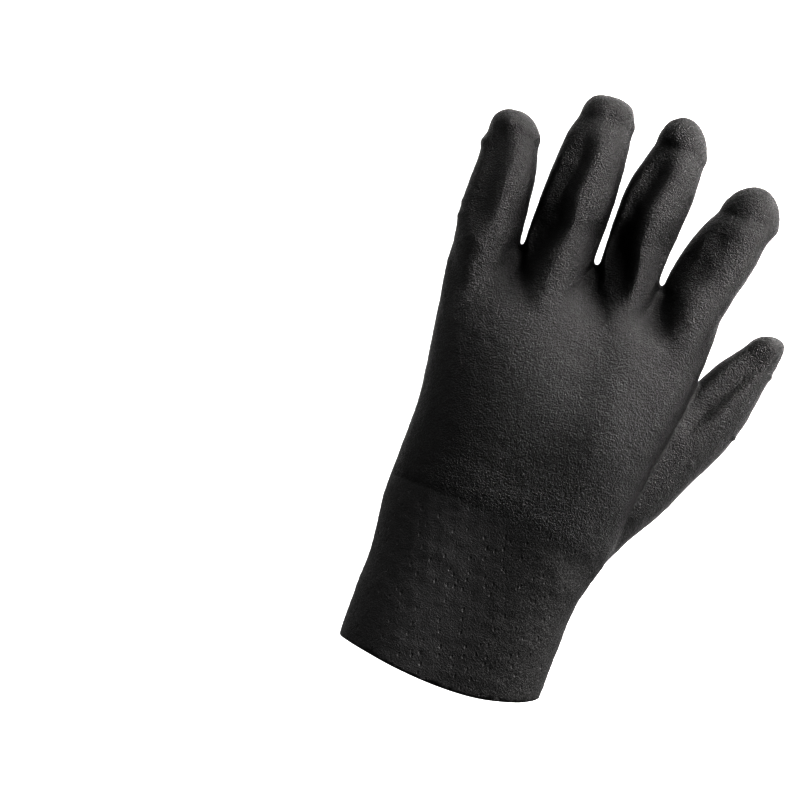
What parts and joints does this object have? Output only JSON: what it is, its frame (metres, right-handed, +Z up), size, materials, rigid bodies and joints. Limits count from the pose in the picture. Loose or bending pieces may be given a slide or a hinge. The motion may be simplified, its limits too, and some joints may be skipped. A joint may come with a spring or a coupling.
{
  "type": "pvc coated work glove",
  "caption": "Dipped work glove for the left hand, lying palm down: a plain cuff open at the hem, a wide hand, four short fingers and a thumb, hollow to the fingertips.",
  "frame": {"origin": "middle of the glove's box, on the table that it rests on", "axes": "+Y from the hem towards the fingertips, +X towards the thumb, +Z up out of the back of the hand"},
  "size_m": [0.1494, 0.2592, 0.0501],
  "materials": {
    "coating": "matte, sandy grain"
  },
  "bodies": {
    "root": {"glove_shell": "coating"}
  },
  "joints": []
}
